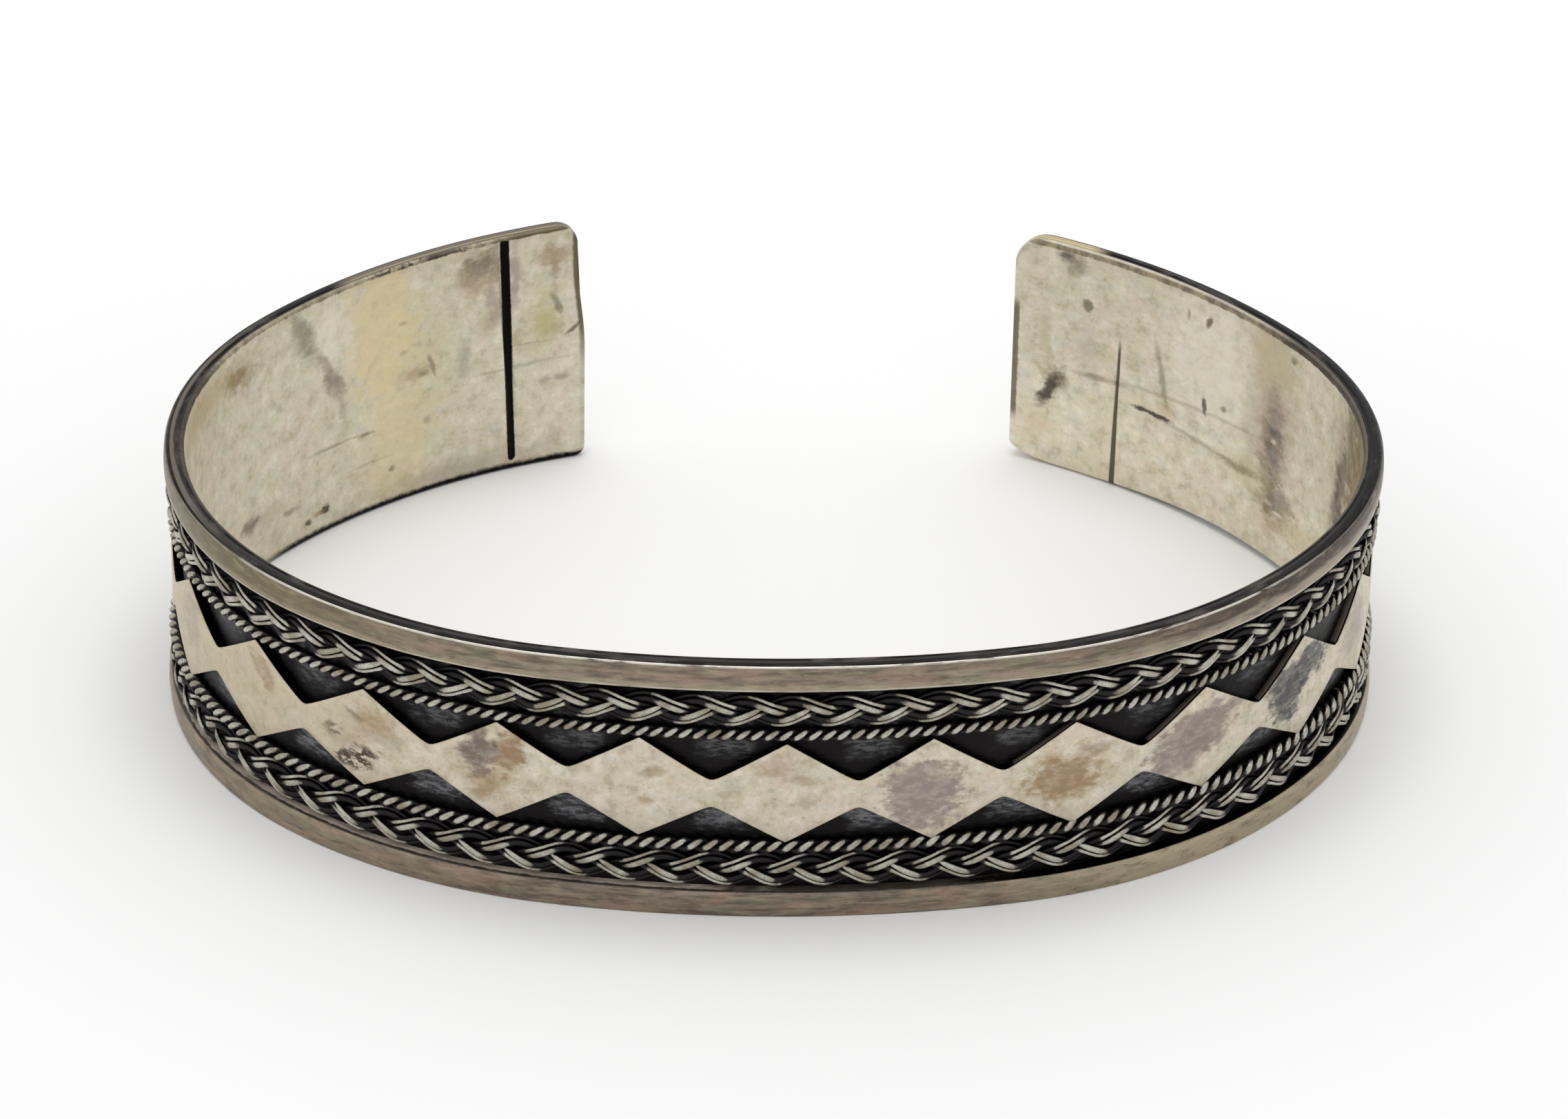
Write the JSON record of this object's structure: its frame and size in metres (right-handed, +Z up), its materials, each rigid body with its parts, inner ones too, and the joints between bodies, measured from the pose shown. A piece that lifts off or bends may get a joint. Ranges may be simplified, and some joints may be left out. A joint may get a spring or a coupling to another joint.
{
  "type": "open silver cuff bangle with a lozenge strip, braids and ropes",
  "caption": "Open oval cuff bangle in silver: a band with edge rails, flat braids, twisted ropes and a strip of joined lozenges on dark ground, with plain rounded ends.",
  "frame": {"origin": "middle of the cuff's outline at the lower rim, on the surface it lies on", "axes": "+Z up through the wrist hollow, +Y towards the opening between the ends, +X to the right seen from the front"},
  "size_m": [0.0644, 0.05, 0.0147],
  "materials": {
    "silver": "worn satin silver, darkened in the recesses",
    "silver_wire": "worn silver wire with dark oxide between the turns"
  },
  "bodies": {
    "root": {"band": "silver", "upper_rope": "silver_wire", "lower_rope": "silver_wire", "upper_braid_strand_1": "silver_wire", "upper_braid_strand_2": "silver_wire", "upper_braid_strand_3": "silver_wire", "lower_braid_strand_1": "silver_wire", "lower_braid_strand_2": "silver_wire", "lower_braid_strand_3": "silver_wire"}
  },
  "joints": []
}
